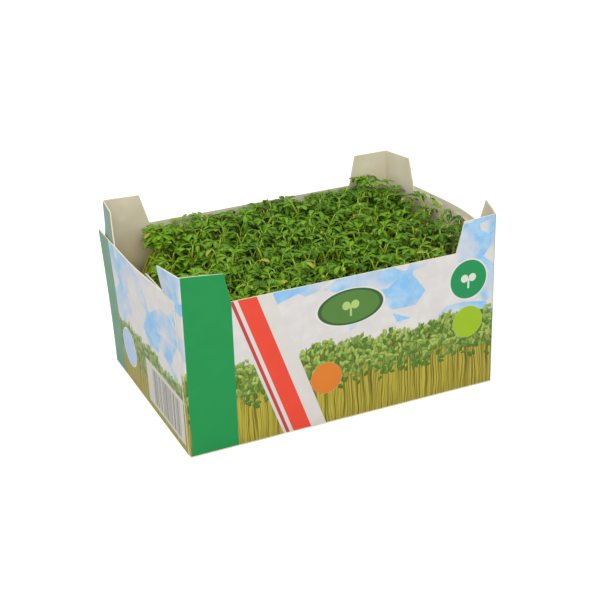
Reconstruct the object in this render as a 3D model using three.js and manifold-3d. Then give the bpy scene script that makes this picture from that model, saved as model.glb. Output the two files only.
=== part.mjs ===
// A tray of garden cress: a folded carton with four corner posts, a growing pad in it, and the seedlings.
// Millimetres, +Z up. The origin is the middle of the carton's underside, and the front wall faces -Y.
import * as THREE from "three";
import { mergeVertices } from "three/addons/utils/BufferGeometryUtils.js";
import Module from "manifold-3d";

const wasm = await Module();
wasm.setup();

// Carton
const WIDTH = 132;
const DEPTH = 91.5;
const WALL_HEIGHT = 60.5;
const END_HEIGHT = 61.5;
const POST_HEIGHT = 74;
const BOARD = 0.6;
const POST_DROP = 0.5;
const POSTS = [
  { side: -1, end: -1, faceTop: 17.3, faceBase: 19.5, splay: 3.1 },
  { side: 1, end: -1, faceTop: 14.3, faceBase: 17.8, splay: 1.4 },
  { side: -1, end: 1, faceTop: 15.6, faceBase: 19.2, splay: 1.5 },
  { side: 1, end: 1, faceTop: 16, faceBase: 18.8, splay: 0.2 },
];
const LEG_TOP = 15;
const LEG_BASE = 19.5;
const WEB_LENGTH = 40.5;
const LEFT_LEAN = 2.6;
const RIGHT_BULGE = 6.2;
const PANEL_INSET = { front: 1.5, frontTaper: 5.5, back: 0.3 };

// Growing pad, and the felt of roots on it
const PAD_CLEARANCE = 0.5;
const PAD_HEIGHT = 14;
const PAD_CORNER = 4;
const FELT_THICKNESS = 2;
const GAP = 0.35;

// Seedlings, each with two seed leaves of three leaflets
const CLUMP_COLUMNS = 6;
const CLUMP_ROWS = 5;
const BED = { width: 128, depth: 87 };
const STEM_RADIUS = 0.9;
const ROOTED = 1.6;
const LEAFLET = {
  length: 6.5,
  halfWidth: 1.6,
  widest: 0.62,
  notch: 1.5,
  thickness: 0.8,
  rise: 1.7,
  droop: 3.4,
};
const LEAFLET_ANGLES = [-46, 0, 46, 134, 180, 226];
const CANOPY_HEIGHT = 59;
const CANOPY_RISE = 2.5;
const CANOPY_DIP = { left: 2, right: 4 };
const LEAN = { fromLeft: 7.5, fromRight: 1, fromBack: 2.2, fromCorner: 3 };
const JITTER = { foot: 1.1, leanX: 1.5, leanY: 1.3, top: 2.8 };
const ATTEMPTS = 60;
const FREE_LEAN = 3;
const SMALLEST = 0.6;

const HALF_WIDTH = WIDTH / 2;
const HALF_DEPTH = DEPTH / 2;
const PAD_BASE = BOARD + GAP;
const FELT_BASE = PAD_BASE + PAD_HEIGHT + GAP;
const FELT_TOP = FELT_BASE + FELT_THICKNESS;

const material = (color, roughness) => new THREE.MeshStandardMaterial({ color, roughness, metalness: 0 });
const boardMaterial = material(0xd9dcd2, 0.5);
const padMaterial = material(0x4a3423, 0.95);
const cressMaterial = material(0x4f8426, 0.55);

const { lerp, smoothstep, degToRad } = THREE.MathUtils;

// A closed mesh as a solid that can be joined and cut.
function solid(geometry) {
  const bare = geometry.clone();
  bare.deleteAttribute("normal");
  bare.deleteAttribute("uv");
  const merged = mergeVertices(bare, 1e-4);
  return new wasm.Manifold(
    new wasm.Mesh({
      numProp: 3,
      vertProperties: merged.attributes.position.array,
      triVerts: new Uint32Array(merged.index.array),
    }),
  );
}

// A solid as a named mesh.
function meshOf(made, name, finish) {
  const { vertProperties, triVerts } = made.getMesh();
  const geometry = new THREE.BufferGeometry()
    .setAttribute("position", new THREE.BufferAttribute(vertProperties, 3))
    .setIndex(new THREE.BufferAttribute(triVerts, 1));
  geometry.computeVertexNormals();
  const mesh = new THREE.Mesh(geometry, finish);
  mesh.name = name;
  return mesh;
}

const join = (solids) => solids.reduce((whole, next) => whole.add(next));

// A block from one corner to the opposite one.
function block(x0, y0, z0, x1, y1, z1) {
  const box = new THREE.BoxGeometry(x1 - x0, y1 - y0, z1 - z0);
  return solid(box.translate((x0 + x1) / 2, (y0 + y1) / 2, (z0 + z1) / 2));
}

// A board that stands in the Y-Z plane, bent: place(u, v) says where each point of its middle goes.
function bentBoard(columns, rows, place) {
  const board = new THREE.BoxGeometry(BOARD, 1, 1, 1, columns, rows).translate(0, 0.5, 0.5);
  const at = board.attributes.position;
  for (let i = 0; i < at.count; i++) {
    const point = place(at.getY(i), at.getZ(i));
    at.setXYZ(i, point.x + at.getX(i), point.y, point.z);
  }
  return solid(board);
}

// How far an end of the carton bows out of its plane. Side is -1 on the left and 1 on the right.
function endBulge(side, y, z) {
  if (side < 0) return 0;
  const along = 1 - (y / HALF_DEPTH) ** 2;
  return RIGHT_BULGE * along * (Math.min(z, END_HEIGHT) / END_HEIGHT) ** 1.3;
}

// How far the left end panel has come away from the webs, most at its top and back.
function panelLean(side, y, z) {
  if (side > 0) return 0;
  return LEFT_LEAN * smoothstep(y, -38, 10) * (z / END_HEIGHT) ** 1.5;
}

// The front or back wall with the faces of its two posts: one flat outline.
function longWall(end) {
  const [left, right] = POSTS.filter((post) => post.end === end);
  const outline = new THREE.Shape()
    .moveTo(-HALF_WIDTH, 0)
    .lineTo(HALF_WIDTH, 0)
    .lineTo(HALF_WIDTH, POST_HEIGHT)
    .lineTo(HALF_WIDTH - right.faceTop, POST_HEIGHT - POST_DROP)
    .lineTo(HALF_WIDTH - right.faceBase, WALL_HEIGHT)
    .lineTo(-HALF_WIDTH + left.faceBase, WALL_HEIGHT)
    .lineTo(-HALF_WIDTH + left.faceTop, POST_HEIGHT - POST_DROP)
    .lineTo(-HALF_WIDTH, POST_HEIGHT);
  const wall = new THREE.ExtrudeGeometry(outline, { depth: BOARD, bevelEnabled: false });
  return solid(wall.rotateX(Math.PI / 2).translate(0, end < 0 ? -HALF_DEPTH + BOARD : HALF_DEPTH, 0));
}

// The leg of a post, folded round the corner, and the glue web below it that runs along the end.
// Both are cut from one board: the cut leaves the web at wall height and the leg with a slanted edge.
function cornerLeg({ side, end, splay }) {
  const board = bentBoard(5, 4, (u, v) => {
    const reach = WEB_LENGTH * (end < 0 ? u : 1 - u);
    const y = end * (HALF_DEPTH - reach);
    const rise = Math.max(0, 4 * v - 3);
    const z = lerp((Math.min(v, 0.75) / 0.75) * WALL_HEIGHT, POST_HEIGHT, rise);
    const out = endBulge(side, y, z) + splay * (reach / LEG_TOP) * rise;
    return new THREE.Vector3(side * (HALF_WIDTH - BOARD / 2 + out), y, z);
  });
  const slant = (LEG_BASE - LEG_TOP) / (POST_HEIGHT - WALL_HEIGHT);
  const cut = [
    [LEG_BASE, WALL_HEIGHT],
    [WEB_LENGTH + 1, WALL_HEIGHT],
    [WEB_LENGTH + 1, POST_HEIGHT + 1],
    [LEG_TOP - slant, POST_HEIGHT + 1],
  ];
  const outline = new THREE.Shape(cut.map(([reach, z]) => new THREE.Vector2(end * (HALF_DEPTH - reach), z)));
  const cutter = new THREE.ExtrudeGeometry(outline, { depth: 2 * WIDTH, bevelEnabled: false });
  return board.subtract(solid(cutter.rotateZ(Math.PI / 2).rotateY(Math.PI / 2).translate(-WIDTH, 0, 0)));
}

// The end panel, folded up from the floor and glued to the outside of the webs.
function endPanel(side) {
  return bentBoard(9, 4, (u, v) => {
    const front = -HALF_DEPTH + PANEL_INSET.front + PANEL_INSET.frontTaper * v;
    const y = lerp(front, HALF_DEPTH - PANEL_INSET.back, u);
    const z = v * END_HEIGHT;
    return new THREE.Vector3(side * (HALF_WIDTH + endBulge(side, y, z) + panelLean(side, y, z)), y, z);
  });
}

function carton() {
  const halfFloor = HALF_WIDTH + BOARD / 2;
  return join([
    block(-halfFloor, -HALF_DEPTH, 0, halfFloor, HALF_DEPTH, BOARD),
    ...[-1, 1].map(longWall),
    ...[-1, 1].map(endPanel),
    ...POSTS.map(cornerLeg),
  ]);
}

// The damp growing pad: a block with rounded corners.
function growingPad() {
  const halfX = HALF_WIDTH - BOARD - PAD_CLEARANCE;
  const halfY = HALF_DEPTH - BOARD - PAD_CLEARANCE;
  const outline = new THREE.Shape();
  for (const [sx, sy, quarter] of [[1, 1, 0], [-1, 1, 1], [-1, -1, 2], [1, -1, 3]]) {
    const [x, y] = [sx * (halfX - PAD_CORNER), sy * (halfY - PAD_CORNER)];
    const start = (quarter * Math.PI) / 2;
    outline.absarc(x, y, PAD_CORNER, start, start + Math.PI / 2);
  }
  const upright = { depth: PAD_HEIGHT, bevelEnabled: false, curveSegments: 3 };
  const pad = new THREE.ExtrudeGeometry(outline, upright);
  return solid(pad.translate(0, 0, PAD_BASE));
}

// The felt of roots under one clump.
function rootFelt(column, row) {
  const cellX = BED.width / CLUMP_COLUMNS;
  const cellY = BED.depth / CLUMP_ROWS;
  const x0 = column * cellX - BED.width / 2 + GAP / 2;
  const y0 = row * cellY - BED.depth / 2 + GAP / 2;
  return block(x0, y0, FELT_BASE, x0 + cellX - GAP, y0 + cellY - GAP, FELT_TOP);
}

// A number from 0 to 1 for each seedling and use, the same on each run.
function chance(column, row, use) {
  const wave = Math.sin(column * 12.9898 + row * 78.233 + use * 37.719) * 43758.5453;
  return wave - Math.floor(wave);
}

const spread = (value, reach) => (value - 0.5) * 2 * reach;

// Where a seedling stands, how far its top leans from its foot, how high it is and how it is turned.
// Seedlings stand in staggered rows, four to a clump. They lean away from the left end and its back corner.
function seedlingPlace(column, row) {
  const stepX = BED.width / CLUMP_COLUMNS / 2;
  const stepY = BED.depth / CLUMP_ROWS / 2;
  const stagger = (row % 2) / 2 - 0.25;
  const x = (column + 0.5 + stagger - CLUMP_COLUMNS) * stepX + spread(chance(column, row, 1), JITTER.foot);
  const y = (row + 0.5 - CLUMP_ROWS) * stepY + spread(chance(column, row, 2), JITTER.foot);
  const nearLeft = smoothstep(-x, 38, HALF_WIDTH);
  const nearRight = smoothstep(x, 45, HALF_WIDTH);
  const nearBack = smoothstep(y, 15, HALF_DEPTH);
  const leanInX = LEAN.fromLeft * nearLeft - LEAN.fromRight * nearRight;
  const leanInY = -nearBack * (LEAN.fromBack + LEAN.fromCorner * nearLeft);
  const leanX = leanInX + spread(chance(column, row, 3), JITTER.leanX);
  const leanY = leanInY + spread(chance(column, row, 4), JITTER.leanY);
  const dip = CANOPY_DIP.left * nearLeft + CANOPY_DIP.right * nearRight;
  const level = CANOPY_HEIGHT + (CANOPY_RISE * y) / HALF_DEPTH - dip;
  const top = level + spread(chance(column, row, 5), JITTER.top);
  return { x, y, leanX, leanY, top, yaw: 2 * Math.PI * chance(column, row, 6) };
}

// A thin three-sided stem along a curve.
function stem(points) {
  const corners = [0, 1, 2].map((side) => {
    const angle = (side * 2 * Math.PI) / 3;
    return new THREE.Vector2(STEM_RADIUS * Math.cos(angle), STEM_RADIUS * Math.sin(angle));
  });
  const path = new THREE.CatmullRomCurve3(points);
  return solid(new THREE.ExtrudeGeometry(new THREE.Shape(corners), { steps: 2, extrudePath: path }));
}

// Six leaflets cut nearly to the middle of one thin blade, which rises a little and then droops.
// The blade's top middle is the origin.
function leafWhorl(size, yaw) {
  const { length, halfWidth, widest, notch, thickness, rise, droop } = LEAFLET;
  const points = [];
  const addPoint = (angle, along, across) => {
    const share = along / length;
    const x = along * Math.cos(angle) - across * Math.sin(angle);
    const y = along * Math.sin(angle) + across * Math.cos(angle);
    const z = rise * share - droop * share ** 2.2;
    points.push([x * size, y * size, z * size]);
  };
  addPoint(0, 0, 0);
  LEAFLET_ANGLES.forEach((degrees, which) => {
    const angle = yaw + degToRad(degrees);
    const before = yaw + degToRad((degrees + LEAFLET_ANGLES.at(which - 1) - (which === 0 ? 360 : 0)) / 2);
    addPoint(before, notch, 0);
    addPoint(angle, length * widest, -halfWidth);
    addPoint(angle, length, 0);
    addPoint(angle, length * widest, halfWidth);
  });
  const ring = points.length - 1;
  const around = (i) => 1 + ((i + ring) % ring);
  const top = [];
  for (let first = 0; first < ring; first += 4) {
    const [start, right, tip, left, next] = [0, 1, 2, 3, 4].map((i) => around(first + i));
    top.push([0, start, next], [start, right, next], [right, left, next], [right, tip, left]);
  }
  const under = (i) => i + points.length;
  const faces = [...top, ...top.map(([a, b, c]) => [under(a), under(c), under(b)])];
  for (let i = 0; i < ring; i++) {
    const [here, next] = [around(i), around(i + 1)];
    faces.push([here, under(here), next], [next, under(here), under(next)]);
  }
  const below = points.map(([x, y, z]) => [x, y, z - thickness]);
  return new THREE.BufferGeometry()
    .setAttribute("position", new THREE.Float32BufferAttribute([...points, ...below].flat(), 3))
    .setIndex(faces.flat());
}

// One seedling: a stem that leans from its foot, with its leaves at the top.
function seedling({ x, y, leanX, leanY, top }, yaw, size) {
  const foot = new THREE.Vector3(x, y, FELT_TOP - ROOTED);
  const middle = new THREE.Vector3(x + leanX * 0.3, y + leanY * 0.3, lerp(foot.z, top, 0.5));
  const crown = new THREE.Vector3(x + leanX, y + leanY, top - LEAFLET.thickness / 2);
  const leaves = leafWhorl(size, yaw).translate(crown.x, crown.y, top);
  return stem([foot, middle, crown]).add(solid(leaves));
}

// Turns a seedling, bends it and shrinks it little by little, until it is clear of all that is already there.
function clearSeedling(place, others) {
  for (let attempt = 0; attempt < ATTEMPTS; attempt++) {
    const ease = attempt / ATTEMPTS;
    const way = 2.4 * attempt;
    const leanX = place.leanX + FREE_LEAN * ease * Math.cos(way);
    const leanY = place.leanY + FREE_LEAN * ease * Math.sin(way);
    const made = seedling({ ...place, leanX, leanY }, place.yaw + way, lerp(1, SMALLEST, ease));
    if (others.every((other) => made.minGap(other, GAP) >= GAP)) return made;
  }
  return null;
}

// The air over the four walls, which the leaves keep out of.
function airOverWalls() {
  const x = HALF_WIDTH - BOARD;
  const y = HALF_DEPTH - BOARD;
  const [low, high, far] = [WALL_HEIGHT - 5, POST_HEIGHT, 20];
  return [
    block(-x - far, y, low, x + far, y + far, high),
    block(-x - far, -y - far, low, x + far, -y, high),
    block(x, -y, low, x + far, y, high),
    block(-x - far, -y, low, -x, y, high),
  ];
}

const tray = new THREE.Group();
const box = carton();
tray.add(meshOf(box, "carton", boardMaterial));
tray.add(meshOf(growingPad(), "growing_pad", padMaterial));

const taken = [box, ...airOverWalls()];
for (let row = 0; row < CLUMP_ROWS; row++)
  for (let column = 0; column < CLUMP_COLUMNS; column++) {
    const clump = [rootFelt(column, row)];
    for (const [right, back] of [[0, 0], [1, 0], [0, 1], [1, 1]]) {
      const made = clearSeedling(seedlingPlace(2 * column + right, 2 * row + back), taken);
      if (!made) continue;
      taken.push(made);
      clump.push(made);
    }
    tray.add(meshOf(join(clump), `cress_clump_${row + 1}_${column + 1}`, cressMaterial));
  }

export default tray;
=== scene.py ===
import math

import bmesh
import bpy
from mathutils import Euler, Matrix, Vector, noise


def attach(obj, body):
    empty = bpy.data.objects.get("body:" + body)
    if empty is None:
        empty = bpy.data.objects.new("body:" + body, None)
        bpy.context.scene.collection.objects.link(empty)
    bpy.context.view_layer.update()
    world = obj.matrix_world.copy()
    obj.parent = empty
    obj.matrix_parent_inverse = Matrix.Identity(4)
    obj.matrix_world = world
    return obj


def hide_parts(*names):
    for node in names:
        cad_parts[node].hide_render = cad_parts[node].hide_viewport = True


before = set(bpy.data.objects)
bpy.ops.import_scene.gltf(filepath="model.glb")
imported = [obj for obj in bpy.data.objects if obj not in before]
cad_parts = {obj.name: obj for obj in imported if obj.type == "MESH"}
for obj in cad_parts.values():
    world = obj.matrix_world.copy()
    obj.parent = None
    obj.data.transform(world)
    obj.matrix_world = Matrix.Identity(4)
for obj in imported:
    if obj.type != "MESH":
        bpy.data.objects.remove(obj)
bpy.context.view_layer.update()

MM = 0.001

# Carton
HALF_WIDTH = 66 * MM
HALF_DEPTH = 45.75 * MM
WALL_HEIGHT = 60.5 * MM
END_HEIGHT = 61.5 * MM
POST_HEIGHT = 73.85 * MM
POSTS = {
    (-1, -1): {"face_top": 17.3 * MM, "face_base": 19.5 * MM, "splay": 3 * MM, "drop": 1.8 * MM},
    (1, -1): {"face_top": 14.3 * MM, "face_base": 17.8 * MM, "splay": 1.6 * MM, "drop": 0.7 * MM},
    (-1, 1): {"face_top": 15.6 * MM, "face_base": 19.2 * MM, "splay": 1.5 * MM, "drop": 0.5 * MM},
    (1, 1): {"face_top": 16.0 * MM, "face_base": 18.8 * MM, "splay": 0.2 * MM, "drop": 0},
}
LEG_TOP = 15 * MM
LEG_BASE = 19.5 * MM
WEB_LENGTH = 40.5 * MM
WEB_INSET = 0.28 * MM
BOARD = 0.5 * MM
FOLD_RADIUS = 0.5 * MM
PANEL_OUT = 66.3 * MM
PANEL_INSET = {"front": 1.5 * MM, "taper": 5.5 * MM}
LEFT_LEAN = {"top": 2.55 * MM, "zone": (-38 * MM, 10 * MM), "power": 1.5}
RIGHT_BULGE = {"top": 6.15 * MM, "power": 1.3}
RIGHT_RISE = {"back": 0.5 * MM, "front": 1.7 * MM, "zone": (-20 * MM, 20 * MM)}
LEG_FOOT = 0.6 * MM
WEB_EASE = 8 * MM
SHEET_STEP = 5 * MM

# Growing pad and root felt
PAD_HALF = (64.9 * MM, 44.65 * MM)
PAD_BASE = 0.95 * MM
PAD_TOP = 14.9 * MM
PAD_CORNER = 3.5 * MM
PAD_LUMPS = {"wide": 4 * MM, "high": 0.35 * MM, "sunk": 0.4 * MM}
FELT_BASE = 15.3 * MM
FELT_TOP = 17.3 * MM
FELT_LUMPS = {"wide": 2.5 * MM, "high": 0.5 * MM, "sunk": 0.5 * MM}
GAP = 0.35 * MM

# Seedlings
CLUMP_COLUMNS = 6
CLUMP_ROWS = 5
BED = (128 * MM, 87 * MM)
CANOPY_HEIGHT = 59 * MM
CANOPY_RISE = 2.5 * MM
CANOPY_DIP = {"left": 2 * MM, "right_front": -1 * MM, "right_back": 4.5 * MM}
LEAN = {"from_left": 8 * MM, "to_right": 2.5 * MM, "from_back": 1.6 * MM, "from_corner": 3.6 * MM}
JITTER = {"foot": 1.1 * MM, "lean_x": 1.5 * MM, "lean_y": 1.3 * MM, "top": 2.8 * MM}
BACK_ROW = {
    "sink_left": 0.6 * MM,
    "sink_right": -0.4 * MM,
    "calm": 0.7,
    "below_edge": 2.8 * MM,
    "slope": 0.5,
}
HOLLOW = {
    "x": (34 * MM, 44 * MM),
    "front": (-14 * MM, -2 * MM),
    "back": (28 * MM, 35 * MM),
    "depth": 6.5 * MM,
}
THINNED = {"hollow": 0.72, "left": 0.1, "front": 0.4, "right_front": 0.3}
LEFT_LIMIT = {"middle": -54.5 * MM, "corner": -47 * MM}
EXTRA_SEEDLINGS = 7
EXTRA_DROP = {"least": 0.5 * MM, "depth": 14 * MM, "even": 0.65, "even_left": 0.95}
EXTRA_LEAN = 2.5 * MM
LOOSE_REACH = (0.44, 0.48)
LEAF_ROOM = (65 * MM, 45 * MM)
SOFT_ZONE = 2.5 * MM
STEM_RADIUS = 0.56 * MM
STALK_RADIUS = 0.32 * MM
FORK_DROP = 4.6 * MM
LEAFLET_LENGTH = 5.5 * MM
LEAFLET_HALF_WIDTH = 0.95 * MM
LEAFLET_CUP = 0.35
LEAFLET_OUTLINE = {"stalk": 0.17, "widest": 1.3, "tip": 0.91, "full": 0.75}
LEAF_STALK = 0.2
LEAF_THICKNESS = 0.2 * MM
SEED_COAT = (0.95 * MM, 0.6 * MM, 0.45 * MM)
CARRIED_COATS = 0.035
SEEDS_PER_CLUMP = 9

# Ranges that a seedling's own shape is drawn from
RANGES = {
    "size": (0.82, 1.12),
    "stalk_reach": (1.2 * MM, 2.4 * MM),
    "droop": (0.45, 1.7),
    "leaflet_length": (0.88, 1.1),
    "leaflet_width": (0.72, 1.35),
    "leaflet_turn": (0.7, 1.0),
    "leaflet_pitch": (0.1, 0.75),
}

# Zones of the bed: where each begins and where it is full, as a distance from the middle towards its side
ZONES = {
    "left": (38 * MM, 66 * MM),
    "right": (45 * MM, 66 * MM),
    "back": (15 * MM, HALF_DEPTH),
    "back_row": (26 * MM, 40 * MM),
    "back_part": (-16 * MM, -4 * MM),
    "back_corner": (18 * MM, 38 * MM),
    "sink_turn": (-40 * MM, 0),
    "thin_left": (28 * MM, 52 * MM),
    "thin_front": (22 * MM, 38 * MM),
    "thin_right": (34 * MM, 54 * MM),
    "thin_right_front": (-2 * MM, 16 * MM),
}

# Heads of the tall seedlings in millimetres: along the right end, in the back right corner and in front
TALL_SEEDLINGS = [
    (64, 18, 61.5), (67, 12, 62), (68, -1, 61), (67, -16, 60), (62, 31, 60), (65, -11, 58.5),
    (68, -21, 58.5), (50.5, 40, 65), (51, 37, 66), (54, 34, 65), (50, 34, 64.5), (53, 40, 63.5),
    (49, 31, 62.5), (55, 28, 61.5), (39, -42, 61), (27, -42.5, 60.5), (-30, -42, 60.5),
]
TALL_FEET = (62 * MM, 42 * MM)

# Where the leaves' and stems' colours change, and where the leaves get painted shade low in the bed,
# painted light at the left end and painted shade in the front right corner
LEAF_PAINTED_SHADE = (56 * MM, 44 * MM)
PAINTED_LIGHT_END = (-22 * MM, -56 * MM)
PAINTED_SHADE_CORNER = {"x": (40 * MM, 58 * MM), "y": (10 * MM, -14 * MM)}
STEM_BROWN = (17 * MM, 34 * MM)
STEM_GREEN = (36 * MM, 60 * MM)

# Camera, as a turn round the target
CAMERA = {
    "target": (1.21 * MM, 0.0, 32.51 * MM),
    "azimuth": -23.908,
    "elevation": 24.525,
    "roll": -1.854,
    "distance": 545.83 * MM,
    "lens": 79.04,
}


def smoothstep(value, low, high):
    """A smooth step from 0 to 1 as the value goes from low to high."""
    share = min(max((value - low) / (high - low), 0.0), 1.0)
    return share * share * (3 - 2 * share)


def mix(a, b, share):
    """A number between a and b, at a share of the way."""
    return a + (b - a) * share


# Shader graphs

def paint(code):
    """A colour code such as "22994d" as linear red, green, blue and alpha."""
    parts = [int(code[i:i + 2], 16) / 255 for i in (0, 2, 4)]
    linear = [p / 12.92 if p <= 0.04045 else ((p + 0.055) / 1.055) ** 2.4 for p in parts]
    return (*linear, 1.0)


class Graph:
    """Short calls that add nodes to a shader tree and hand back their outputs."""

    def __init__(self, tree):
        self.tree = tree

    def node(self, kind, inputs=None, **settings):
        made = self.tree.nodes.new(kind)
        for name, value in settings.items():
            setattr(made, name, value)
        for key, value in (inputs or {}).items():
            if isinstance(value, bpy.types.NodeSocket):
                self.tree.links.new(value, made.inputs[key])
            else:
                made.inputs[key].default_value = value
        return made

    def math(self, operation, a, b=0.0, clamp=False):
        return self.node("ShaderNodeMath", {0: a, 1: b}, operation=operation, use_clamp=clamp).outputs[0]

    def split(self, vector):
        return self.node("ShaderNodeSeparateXYZ", {0: vector}).outputs

    def join(self, x, y, z=0.0):
        return self.node("ShaderNodeCombineXYZ", {0: x, 1: y, 2: z}).outputs[0]

    def mix(self, share, a, b, blend="MIX"):
        settings = {"data_type": "RGBA", "blend_type": blend}
        return self.node("ShaderNodeMix", {0: share, 6: a, 7: b}, **settings).outputs[2]

    def rise(self, value, low, high, to_low=0.0, to_high=1.0):
        """A smooth step from to_low to to_high as the value goes from low to high."""
        inputs = {0: value, 1: low, 2: high, 3: to_low, 4: to_high}
        return self.node("ShaderNodeMapRange", inputs, interpolation_type="SMOOTHSTEP").outputs[0]

    def band(self, value, low, high, soft):
        """1 between low and high, and 0 outside, with soft edges."""
        up = self.rise(value, low - soft, low + soft)
        down = self.rise(value, high - soft, high + soft)
        return self.math("SUBTRACT", up, down, clamp=True)

    def times(self, *values):
        result = values[0]
        for value in values[1:]:
            result = self.math("MULTIPLY", result, value)
        return result

    def noise(self, vector, scale, detail=2.0, rough=0.5, warp=0.0):
        inputs = {
            "Vector": vector,
            "Scale": scale,
            "Detail": detail,
            "Roughness": rough,
            "Distortion": warp,
        }
        return self.node("ShaderNodeTexNoise", inputs).outputs["Fac"]

    def mapped(self, vector, **inputs):
        """The vector moved, turned or scaled by a mapping node."""
        given = {"Vector": vector, **inputs}
        return self.node("ShaderNodeMapping", given).outputs[0]

    def cells(self, vector, scale, **settings):
        inputs = {"Vector": vector, "Scale": scale}
        return self.node("ShaderNodeTexVoronoi", inputs, **settings).outputs

    def bump(self, height, strength, distance):
        inputs = {"Height": height, "Strength": strength, "Distance": distance}
        return self.node("ShaderNodeBump", inputs).outputs[0]

    def group(self, tree, **inputs):
        return self.node("ShaderNodeGroup", inputs, node_tree=tree).outputs


def new_group(name, inputs, outputs):
    """An empty shader group with named sockets, and its graph, group input and group output."""
    tree = bpy.data.node_groups.new(name, "ShaderNodeTree")
    for socket, kind in inputs.items():
        tree.interface.new_socket(socket, in_out="INPUT", socket_type="NodeSocket" + kind)
    for socket, kind in outputs.items():
        tree.interface.new_socket(socket, in_out="OUTPUT", socket_type="NodeSocket" + kind)
    graph = Graph(tree)
    given = graph.node("NodeGroupInput").outputs
    result = graph.node("NodeGroupOutput").inputs
    return graph, given, result


def new_material(name, **constants):
    """A material with one Principled shader, whose unlinked sockets are set from the constants."""
    material = bpy.data.materials.new(name)
    material.use_nodes = True
    graph = Graph(material.node_tree)
    shader = material.node_tree.nodes["Principled BSDF"]
    for socket, value in constants.items():
        shader.inputs[socket.replace("_", " ")].default_value = value
    return material, graph, shader


def feed(graph, shader, **links):
    """Links colours, masks and normals to the shader's sockets of the same names."""
    for socket, source in links.items():
        graph.tree.links.new(source, shader.inputs[socket.replace("_", " ")])


def paper_fibre_group():
    """The fine mottling and tooth of carton board."""
    graph, given, result = new_group(
        "paper_fibre", {"Vector": "Vector", "Scale": "Float"}, {"Mottle": "Float", "Tooth": "Float"}
    )
    fine = graph.noise(given["Vector"], graph.math("MULTIPLY", given["Scale"], 9.0), 3.0, 0.6)
    coarse = graph.noise(given["Vector"], given["Scale"], 2.0)
    graph.tree.links.new(coarse, result["Mottle"])
    graph.tree.links.new(fine, result["Tooth"])
    return graph.tree


def cloud_group():
    """A printed summer sky: warm white cloud with flat-sided patches of light blue, more of them above.

    The vector is in millimetres.
    """
    graph, given, result = new_group("printed_clouds", {"Vector": "Vector"}, {"Color": "Color"})
    up = graph.split(given["Vector"])[1]
    along = graph.math("ABSOLUTE", graph.split(given["Vector"])[0])
    turned = graph.mapped(given["Vector"], Location=(9, 4, 0), Rotation=(0, 0, 0.35), Scale=(0.6, 1, 1))
    facet = graph.node("ShaderNodeSeparateColor", {0: graph.cells(turned, 0.105)["Color"]}).outputs[0]
    billow = graph.noise(given["Vector"], 0.06, 3.0, 0.5, 0.5)
    height = graph.rise(up, 30.0, 66.0, -0.1, 0.2)
    height = graph.math("ADD", height, graph.rise(along, 52.0, 72.0, 0.0, 0.22))
    blue = graph.rise(graph.math("ADD", facet, height), 0.66, 0.72)
    faded = graph.times(blue, graph.rise(billow, 0.36, 0.6, 0.25, 1.0))
    wisps = graph.rise(graph.noise(given["Vector"], 0.16, 3.0, 0.6), 0.35, 0.75)
    sky = graph.mix(wisps, paint("7fb4dc"), paint("a3c8e2"))
    cloud = graph.mix(wisps, paint("cdc9c6"), paint("d6d1cb"))
    graph.tree.links.new(graph.mix(faded, cloud, sky), result["Color"])
    return graph.tree


def leaf_layer(graph, vector, turn, shift, long, short):
    """Leaf shapes that all lean one way, lit from above.

    Hands back their mask, shade, random number and the height of their middles.
    """
    turned = graph.mapped(vector, Location=(shift, 0, 0), Rotation=(0, 0, turn))
    flat = graph.mapped(turned, Scale=(1 / long, 1 / short, 1))
    cell = graph.cells(flat, 1.0, voronoi_dimensions="2D")
    across, along, _ = graph.split(cell["Position"])
    unshifted = graph.math("SUBTRACT", graph.math("MULTIPLY", across, long), shift)
    height = graph.math(
        "SUBTRACT",
        graph.math("MULTIPLY", along, short * math.cos(turn)),
        graph.math("MULTIPLY", unshifted, math.sin(turn)),
    )
    draw = graph.node("ShaderNodeSeparateColor", {0: cell["Color"]}).outputs[0]
    above = graph.math("SUBTRACT", graph.split(flat)[1], along)
    shade = graph.times(graph.rise(above, -0.45, 0.1), graph.rise(cell["Distance"], 0.46, 0.25, 0.6, 1.0))
    return graph.rise(cell["Distance"], 0.47, 0.4), shade, draw, height


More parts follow.
